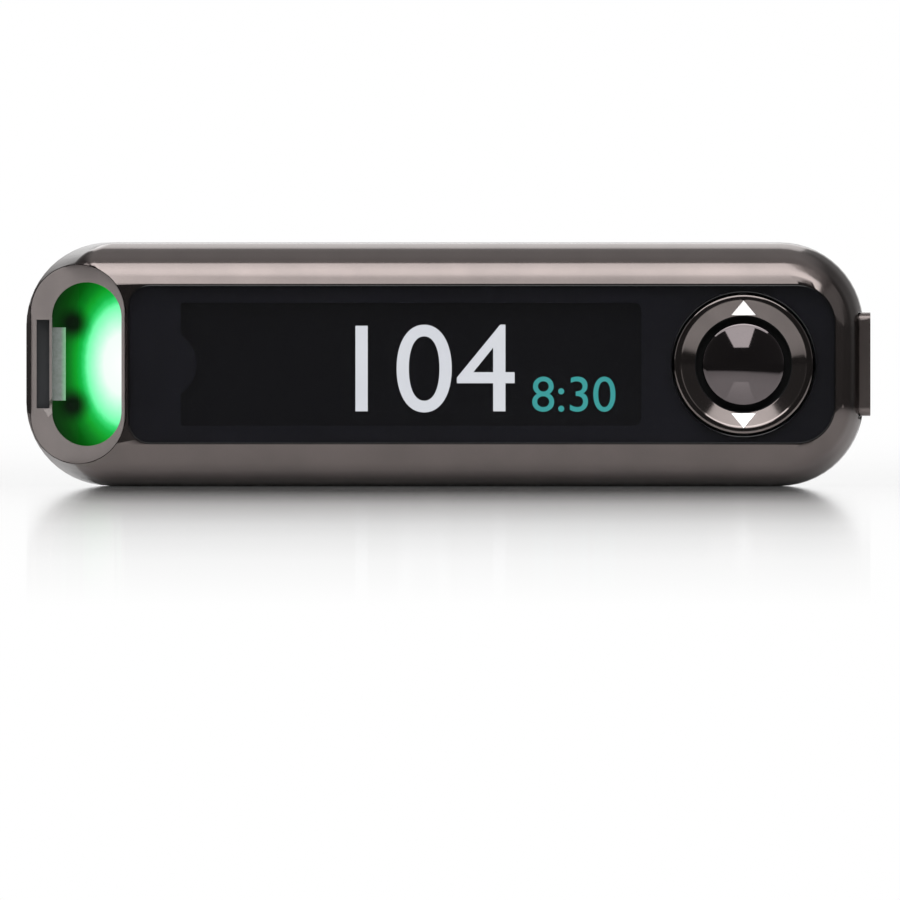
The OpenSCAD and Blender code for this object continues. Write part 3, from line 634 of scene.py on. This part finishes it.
back_skin = lofted(between([
    (SEAM + 0.02, LEFT, RIGHT, 0, CORNER, CORNER),
    (BACK - 2.65, LEFT, RIGHT, 0, CORNER, CORNER),
    (BACK - 1.5, LEFT + 0.35, RIGHT - 0.35, 0.35, CORNER - 0.35, CORNER - 0.35),
    (BACK - 0.6, LEFT + 1.2, RIGHT - 1.2, 1.2, CORNER - 1.2, CORNER - 1.2),
    (BACK - 0.02, LEFT + 2.6, RIGHT - 2.6, 2.6, CORNER - 2.6, CORNER - 2.6)], 0.45))
only(back_skin)
bpy.ops.object.duplicate()
door = bpy.context.object

hollow = lofted([
    (SEAM - 0.1, LEFT + WALL, RIGHT - WALL, WALL, CORNER - WALL, CORNER - WALL),
    (BACK - 2.9, LEFT + WALL, RIGHT - WALL, WALL, CORNER - WALL, CORNER - WALL),
    (BACK - 1.4, LEFT + 3.2, RIGHT - 3.2, 3.2, CORNER - 3.2, CORNER - 3.2)], steps=8)
hollow = combine(hollow, block((DOOR_X0 - 1.4, LEDGE_Y, -1), (TIP, BACK + 1, BODY_H + 1)))
back = combine(back_skin, hollow)
for x, z in SCREWS:
    back = combine(back, bar(x, z, 2.2, SEAM + 0.1, BACK - 0.8, 48), "UNION")
# Room for the door, for its rails, and for the thick and the thin part of its thumb lip.
for x0, y0, y1, half in (
        (DOOR_X0 - DOOR_GAP, DOOR_IN - 0.05, BACK + 1, DOOR_H / 2 + DOOR_GAP),
        (DOOR_X0 - DOOR_GAP, DOOR_IN - 0.05, DOOR_IN + RAIL + DOOR_GAP,
         DOOR_H / 2 + RAIL + DOOR_GAP),
        (TIP - LIP_T - DOOR_GAP, LIP_Y - DOOR_GAP, BACK + 1, LIP_H / 2 + LIP_GAP),
        (TIP - LIP_SKIN - DOOR_GAP, SEAM - 1, LIP_Y, LIP_H / 2 + LIP_GAP)):
    back = combine(back, block((x0, y0, MID - half), (TIP + 1, y1, MID + half)))
bay = rounded_plate(CELL_X[0] - CELL_R - 0.2, CELL_X[1] + CELL_R + 0.2, MID - CELL_R - 0.2,
                    MID + CELL_R + 0.2, LEDGE_Y - 0.1, DOOR_IN, CELL_R + 0.2, CELL_R + 0.2, 24)
back = combine(back, bay)
for x, z in SCREWS:
    back = combine(back, bar(x, z, 0.9, SEAM, BACK, 32))
    back = combine(back, bar(x, z, 1.55, DOOR_IN - 1.25, BACK + 1, 48))
ease_edges(back, 0.12)
finished(back, "back_shell", "meter", back_lacquer, "back_housing")

door = combine(door, block((DOOR_X0, DOOR_IN, MID - DOOR_H / 2),
                           (TIP, BACK + 1, MID + DOOR_H / 2)), "INTERSECT")
door = combine(door, block((DOOR_X0, DOOR_IN, MID - DOOR_H / 2 - RAIL),
                           (RIGHT - 6, DOOR_IN + RAIL, MID + DOOR_H / 2 + RAIL)), "UNION")
# Thumb lip: thick at the door and thin toward the face, with four rounded long edges.
for thick, start in ((LIP_T, LIP_Y), (LIP_SKIN, LIP_FRONT)):
    lip = block((TIP - thick, start, MID - LIP_H / 2), (TIP, BACK - 0.6, MID + LIP_H / 2))
    round_along_x(lip, 1)
    door = combine(door, lip, "UNION")
for i in range(GRIPS):
    length = 12 - abs(i - (GRIPS - 1) / 2) * 1.2
    bpy.ops.object.select_all(action="DESELECT")
    bpy.ops.mesh.primitive_cylinder_add(
        vertices=32, radius=0.55, depth=length,
        location=(RIGHT - 16 + i * GRIP_PITCH, BACK + 0.3, MID))
    groove = bpy.context.object
    bpy.ops.object.transform_apply(location=True, rotation=True, scale=True)
    door = combine(door, groove)
ease_edges(door, 0.12)
finished(door, "sliding_door", "door", back_lacquer, "battery_door")

# ------------------------------------------------------------------ lens and display

lens = rounded_plate(lens_low.x, lens_high.x, lens_low.z, lens_high.z, FACE, FACE + LENS_T,
                     *LENS_R)
lens = combine(lens, bar(BUTTON_X, MID, RING_R + 0.2, FACE - 1, FACE + 2, 144))
ease_edges(lens, 0.14)
finished(lens, "clear_lens", "meter", lens_acrylic, "front_lens")
lens.visible_shadow = False         # lamps reach the print behind the clear lens
lens.data.materials.append(lens_edge_ink)
for face in lens.data.polygons:
    face.material_index = 0 if abs(face.normal.y) > 0.99 else 1

# ------------------------------------------------------------------ strip port

ring_part = slot_plate(BEZEL_X, BEZEL_W, BEZEL_H, FACE - 3, SEAM - 0.1)
ring_part = below_port_face(ring_part, 0)
ring_part = below_port_face(ring_part, BEZEL_T, keep_below=False)
cup = slot_plate(PORT_X, PORT_W + 2 * CUP_WALL, PORT_H + 2 * CUP_WALL, FACE - 3, SEAM - 0.1)
cup = below_port_face(cup, BEZEL_T - 0.01)
bezel = combine(ring_part, cup, "UNION")
inside = slot_plate(PORT_X, PORT_W, PORT_H, FACE - 4, CUP_FLOOR)
for end, y in ((TONGUE_X, STRIP_Y), (PORT_X - 0.6, STRIP_Y + 0.5)):
    inside = combine(inside, block((LEFT, y, MID - TONGUE_HALF),
                                   (end, SEAM, MID + TONGUE_HALF)))
bezel = combine(bezel, inside)
bezel = combine(bezel, slot_plate(PORT_X + 1.5, PORT_W - 3, PORT_H - 3.4, FACE, SEAM + 1))
bezel = combine(bezel, block((PORT_X - 0.6, board_low.y - 0.3, MID - 5.6),
                             (FACET_X + 2, SEAM + 1, MID + 5.6)))
bezel = combine(bezel, block((board_low.x - 0.15, board_low.y - 0.75, -1),
                             (FACET_X + 2, SEAM + 1, BODY_H + 1)))
bezel = combine(bezel, block((NOTCH_X0, FACE, MID - NOTCH_HALF),
                             (NOTCH_X1, CUP_FLOOR, MID + NOTCH_HALF)))
# Lower lip of the notch: a chamfer that looks up and forward, cut by a block turned so that
# its short sides run along the lip.
outward = Vector((-0.2, -0.9, 0.38)).normalized()
bpy.ops.object.select_all(action="DESELECT")
bpy.ops.mesh.primitive_cube_add(size=1, location=(0, 0, 0))
chamfer = bpy.context.object
chamfer.scale = (4.4, 2, 1.3)
bpy.ops.object.transform_apply(scale=True)
chamfer.rotation_euler = (0, radians(-33), 0)
bpy.ops.object.transform_apply(rotation=True)
chamfer.rotation_euler = (-outward).to_track_quat("Y", "Z").to_euler()
chamfer.location = Vector((FACET_X - 8.7, SEAM - 2.2, MID - 5.3)) + outward
bpy.ops.object.transform_apply(location=True, rotation=True)
bezel = combine(bezel, chamfer)
ease_edges(bezel, 0.12)
finished(bezel, "port_ring", "meter", bezel_lacquer, "port_bezel")


def below_slant(co):
    """How deep a point in millimetres lies below the slanted port face."""
    return (co.x - FACET_X) * sin(SLANT) + (co.y - FACE) * cos(SLANT)


def in_port(co):
    """Whether a point lies within the outline of the port, seen from the front."""
    straight = (PORT_H - PORT_W) / 2
    off = Vector((co.x - PORT_X, max(abs(co.z - MID) - straight, 0)))
    return off.length < PORT_W / 2 + 0.06


# The cup's faces get the painted green light, the tongue keeps its lacquer with its painted
# green light, and the notch's faces take the black acetal.
for material in (glow, tongue_lacquer_and_painted_light, guide_plastic):
    bezel.data.materials.append(material)
for face in bezel.data.polygons:
    spot = face.center * 1000
    if in_port(spot) and below_slant(spot) > 0.3:
        on_tongue = spot.x < TONGUE_X + 0.05 and abs(spot.z - MID) < TONGUE_HALF + 0.1
        face.material_index = 2 if on_tongue and spot.y < STRIP_Y + 0.1 else 1
    if (NOTCH_X0 - 0.05 < spot.x < NOTCH_X1 + 0.1 and abs(spot.z - MID) < NOTCH_HALF + 0.1
            and below_slant(spot) > 0.12 and spot.y < CUP_FLOOR + 0.05
            and abs(face.normal @ outward) < 0.97):
        face.material_index = 3

guide = slot_plate(PORT_X, PORT_W - 0.1, PORT_H - 0.1, FACE - 3, STRIP_Y - 0.8)
guide = below_port_face(guide, 2.6)
guide = combine(guide, block((LEFT, FACE - 4, 0), (PORT_X - 1.02, SEAM, BODY_H)))
guide = combine(guide, block((board_low.x - 0.05, board_low.y - 0.75, -1),
                             (FACET_X + 3, SEAM, BODY_H + 1)))
ease_edges(guide, 0.2)
finished(guide, "lit_guide", "meter", glow, "light_guide")
guide.visible_glossy = False        # its light stays in the port, off the card

# ------------------------------------------------------------------ buttons

# Up the outer wall, over the rounded rim, down the dish and back along the hole.
ring_profile = [(RING_R - 1.4, 2.75), (RING_R, 2.75), (RING_R, 0.3)]
ring_profile += [(RING_R - 0.3 + 0.3 * cos(a * pi / 12), 0.3 - 0.3 * sin(a * pi / 12))
                 for a in range(1, 7)]
ring_profile += [(RING_R - 0.7, 0.01), (RING_R - 0.78, 0.03), (RING_R - 0.86, 0.08),
                 (RING_R - 0.9, 0.11), (RING_R - 0.98, 0.14), (HOLE_R + 0.2, 0.76),
                 (HOLE_R + 0.12, 0.79), (HOLE_R + 0.04, 0.84), (HOLE_R, 0.93), (HOLE_R, 1.7),
                 (RING_R - 1.4, 1.7)]
ring = close_turned(turned(ring_profile), is_ring=True)


def triangles(grow):
    """Two triangles that point away from each other, above and below the button."""
    made = []
    for side in (-1, 1):
        bpy.ops.object.select_all(action="DESELECT")
        bpy.ops.mesh.primitive_plane_add(size=1, location=(BUTTON_X, FACE - 1, MID),
                                         rotation=(pi / 2, 0, 0))
        bpy.ops.object.transform_apply(location=True, rotation=True, scale=True)
        mark = bpy.context.object
        edit(mark)
        pick(mark, lambda co: co.z > MID)
        bpy.ops.mesh.merge(type="CENTER")
        bpy.ops.mesh.select_all(action="SELECT")
        bpy.ops.transform.resize(value=(2 * (1.4 + grow), 1, side * (1.7 + 2.5 * grow)),
                                 center_override=(BUTTON_X, FACE - 1, MID - 0.5))
        bpy.ops.transform.translate(value=(0, 0, 0.5 + side * (5.62 - grow)))
        bpy.ops.mesh.extrude_region_move(TRANSFORM_OT_translate={"value": (0, 2, 0)})
        bpy.ops.mesh.select_all(action="SELECT")
        bpy.ops.mesh.normals_make_consistent(inside=False)
        leave()
        made.append(mark)
    only(*made)
    bpy.ops.object.join()
    return made[0]


only(ring)
bpy.ops.object.duplicate()
marks = bpy.context.object
marks = combine(marks, triangles(0), "INTERSECT")
finished(marks, "white_triangles", "rocker", mark_white, "arrow_marks")
ring = combine(ring, triangles(0.03))
for side in (-1, 1):
    bpy.ops.object.select_all(action="DESELECT")
    bpy.ops.mesh.primitive_cylinder_add(
        vertices=48, radius=0.6, depth=1.6, rotation=(0, pi / 2, 0),
        location=(BUTTON_X + side * (RING_R - 0.1 + 0.4), FACE + 2.25, MID))
    bpy.ops.object.transform_apply(location=True, rotation=True, scale=True)
    ring = combine(ring, bpy.context.object, "UNION")
    ring = combine(ring, bar(BUTTON_X, MID + side * (RING_R - 0.73), 0.6, FACE + 2.6,
                             ring_high.y, 48), "UNION")
finished(ring, "rocker_ring", "rocker", ring_lacquer, "scroll_ring", smooth=35)
ring.data.materials.append(skirt_black)
for face in ring.data.polygons:
    spot = face.center * 1000
    if Vector((spot.x - BUTTON_X, spot.z - MID)).length > RING_R + 0.01 or spot.y > FACE + 0.8:
        face.material_index = 1

cap_profile = [(0.02, 0.1)]
cap_profile += [((OK_R - 0.1) * i / 14, 0.1 + 0.78 * (i / 14) ** 2) for i in range(1, 15)]
cap_profile += [(OK_R - 0.03, 0.93), (OK_R, 1.02), (OK_R, 1.3), (OK_R - 0.8, 1.3)]
cap = close_turned(turned(cap_profile))
finished(cap, "domed_cap", "centre_button", cap_lacquer, smooth=40)
skirt = close_turned(turned([
    (0.02, 1.32), (OK_R - 0.05, 1.32), (OK_R - 0.02, 1.4), (OK_R - 0.02, 2.1),
    (OK_R + 0.05, 2.15), (OK_R + 1.15, 2.15), (OK_R + 1.2, 2.2), (OK_R + 1.2, 2.55),
    (1.5, 2.55), (1.5, size_of("ok_button")[1].y - FACE)]))
finished(skirt, "button_skirt", "centre_button", skirt_black, "ok_button", smooth=40)

# ------------------------------------------------------------------ digits of the display

def digits(text, x, z, height, material, name):
    """Plain numbers lit on the display glass."""
    bpy.ops.object.select_all(action="DESELECT")
    bpy.ops.object.text_add(location=(x, PANEL_FRONT - 0.02, z), rotation=(pi / 2, 0, 0))
    word = bpy.context.object
    word.data.body = text
    word.data.size = height / 0.73
    word.data.extrude = 0.01
    bpy.ops.object.convert(target="MESH")
    bpy.ops.object.transform_apply(location=True, rotation=True, scale=True)
    return finished(word, name, "meter", material)


digits("104", -13.5, 8.6, 10.5, digit_white, "reading")
digits("8:30", 9.5, 8.6, 4.2, digit_teal, "clock")

# ------------------------------------------------------------------ finishes of kept pieces

for names, material in (
        (("lens_mask",), mask_ink), (("port_lights",), lamp),
        (("strip_connector",), connector_plastic), (("strip_contacts",), gold),
        (("circuit_board",), board), (("display_panel",), display_glass),
        (("display_gasket",), foam), (("display_cradle",), carrier_plastic),
        (("display_ribbon",), film), (("ribbon_socket",), socket_plastic),
        (("button_guide",), guide_plastic), (("key_switches",), switch_steel),
        (("board_chips",), chip_epoxy), (("radio_module",), tin),
        (("buzzer",), buzzer_plastic), (("battery_tray",), tray_plastic),
        (("coin_cells",), cell_steel),
        (("cell_springs", "cell_clips"), nickel), (("housing_screws",), zinc)):
    for name in names:
        nodes[name].data.materials.clear()
        nodes[name].data.materials.append(material)

# ------------------------------------------------------------------ stage, lamps and camera

FADE_REACH = 1.5                    # metres over which the card's tones are laid out
CARD_REACH = 0.1                    # metres of card that polished faces see

bpy.ops.object.select_all(action="DESELECT")
bpy.ops.mesh.primitive_plane_add(size=60, location=(0, 0, 0))
floor = bpy.context.object
floor.name = "floor"
card_and_painted_shade, tree, shader, where = new_material("glazed_white_card_painted_shade", Roughness=0.05,
                                          Specular_IOR_Level=0.3)
# White for the light that it throws back onto the object, and a darker painted shade for the
# camera.
rays = add_node(tree, "ShaderNodeLightPath").outputs
tone = add_node(tree, "ShaderNodeMix", {0: rays["Is Camera Ray"], 6: colour("#ececec"),
                                        7: colour("#8c8c8c")}, data_type="RGBA")
tree.links.new(tone.outputs[2], shader.inputs["Base Color"])
# Seen by the camera, the card fades to the plain white of the backdrop away from the object.
# Seen in polished faces it ends a hand's width off, where the dim room begins.
far = add_node(tree, "ShaderNodeVectorMath", {0: where}, operation="LENGTH").outputs["Value"]
part_way = add_node(tree, "ShaderNodeMath", {0: far, 1: 1 / FADE_REACH}, operation="MULTIPLY")
fade = add_node(tree, "ShaderNodeValToRGB", {0: part_way.outputs[0]}, (
    (0.045, "#000000"), (0.11, "#747474"), (0.15, "#999999"), (0.2, "#b2b2b2"),
    (0.29, "#d7d7d7"), (0.37, "#e8e8e8"), (0.48, "#f5f5f5"), (0.66, "#ffffff")))
edge = add_node(tree, "ShaderNodeMapRange", {
    "Value": far, "From Min": CARD_REACH, "From Max": CARD_REACH + 0.03})
glossy = rays["Is Glossy Ray"]
share = add_node(tree, "ShaderNodeMix", {0: glossy, 2: fade.outputs[0], 3: edge.outputs[0]})
beyond = add_node(tree, "ShaderNodeMix", {0: glossy, 6: (1, 1, 1, 1), 7: colour("#484848")},
                  data_type="RGBA")
plain = add_node(tree, "ShaderNodeEmission", {"Color": beyond.outputs[2]})
blended = add_node(tree, "ShaderNodeMixShader", {0: share.outputs[0], 1: shader.outputs[0],
                                                 2: plain.outputs[0]})
tree.links.new(blended.outputs[0], tree.nodes["Material Output"].inputs["Surface"])
floor.data.materials.append(card_and_painted_shade)
floor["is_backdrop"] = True

world = bpy.data.worlds.new("studio")
bpy.context.scene.world = world
world.use_nodes = True
tree = world.node_tree
tree.nodes.clear()
path = add_node(tree, "ShaderNodeLightPath")
direction = add_node(tree, "ShaderNodeSeparateXYZ", {
    0: add_node(tree, "ShaderNodeTexCoord").outputs["Generated"]})
# Polished faces see the white backdrop behind the object, a pale ceiling and a dim room.
along = add_node(tree, "ShaderNodeMath", {0: direction.outputs["Y"], 1: 0.5, 2: 0.5},
                 operation="MULTIPLY_ADD")
walls = add_node(tree, "ShaderNodeValToRGB", {0: along.outputs[0]}, (
    (0.0, "#464646"), (0.1, "#505050"), (0.25, "#686868"), (0.66, "#686868"),
    (0.82, "#8a8a8a"), (0.92, "#bcbcbc"), (0.98, "#ffffff")))
overhead = add_node(tree, "ShaderNodeMapRange", {
    "Value": direction.outputs["Z"], "From Min": 0.6, "From Max": 0.9, "To Max": 0.75})
brighter = add_node(tree, "ShaderNodeVectorMath", {
    0: walls.outputs[0], 1: overhead.outputs[0]}, operation="MAXIMUM")
room = add_node(tree, "ShaderNodeBackground", {"Color": brighter.outputs[0]})
light = add_node(tree, "ShaderNodeBackground", {"Color": (1, 1, 1, 1), "Strength": 0.6})
white = add_node(tree, "ShaderNodeBackground", {"Color": (1, 1, 1, 1), "Strength": 1.0})
mirrored = add_node(tree, "ShaderNodeMath", {0: path.outputs["Is Glossy Ray"],
                                             1: path.outputs["Is Transmission Ray"]},
                    operation="MAXIMUM")
lit_or_mirrored = add_node(tree, "ShaderNodeMixShader", {
    0: mirrored.outputs[0], 1: light.outputs[0], 2: room.outputs[0]})
mixed = add_node(tree, "ShaderNodeMixShader", {0: path.outputs["Is Camera Ray"],
                                               1: lit_or_mirrored.outputs[0],
                                               2: white.outputs[0]})
add_node(tree, "ShaderNodeOutputWorld", {0: mixed.outputs[0]})


def soft_box(name, place, aim, wide, high, watts):
    """Lamp behind a white cloth, aimed at a point, all in metres."""
    bpy.ops.object.light_add(type="AREA", location=place)
    box = bpy.context.object
    box.name = name
    box.data.shape = "RECTANGLE"
    box.data.size = wide
    box.data.size_y = high
    box.data.energy = watts
    box.visible_camera = False
    box.rotation_euler = (Vector(aim) - Vector(place)).to_track_quat("-Z", "Y").to_euler()


# A row of boxes overhead, from far in front to near: each makes one bright band along the
# bevels and one patch on the button and its ring.
BOXES_Z = 0.36
for name, y, wide, deep, watts in (("long_box", -0.822, 0.3, 0.755, 2.1),
                                   ("wide_low_box", -0.374, 0.62, 0.143, 0.72),
                                   ("wide_high_box", -0.226, 0.62, 0.152, 1.4)):
    soft_box(name, (0, y, BOXES_Z), (0, y, 0), wide, deep, watts)
for name, place, high, watts in (("left_box", (-0.8, -0.1, 0.35), 0.6, 1.8),
                                 ("right_box", (0.8, -0.28, 0.36), 0.6, 0.34),
                                 ("back_box", (0, 0.7, 0.6), 0.5, 1.4)):
    soft_box(name, place, (0, 0, 0.01), 0.5, high, watts)

PICTURE_MM = 900 / 8.69             # 900 pixels at 8.69 to the millimetre
FOCAL = 900                         # a long lens from far off, so that the face looks flat
SENSOR = 36
tilt = radians(0.4)
distance = PICTURE_MM / 1000 * FOCAL / SENSOR
target = Vector((0.00025, SEAM / 1000, 0.0041))    # what the picture is centred on
camera_data = bpy.data.cameras.new("camera")
camera_data.lens = FOCAL
camera_data.sensor_width = SENSOR
camera_data.clip_start = 0.01
camera_data.clip_end = 20
camera = bpy.data.objects.new("camera", camera_data)
bpy.context.scene.collection.objects.link(camera)
camera.location = target + Vector((0, -cos(tilt), sin(tilt))) * distance
camera.rotation_euler = (pi / 2 - tilt, 0, 0)
bpy.context.scene.camera = camera
bpy.context.scene.view_settings.view_transform = "Standard"

low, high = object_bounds()
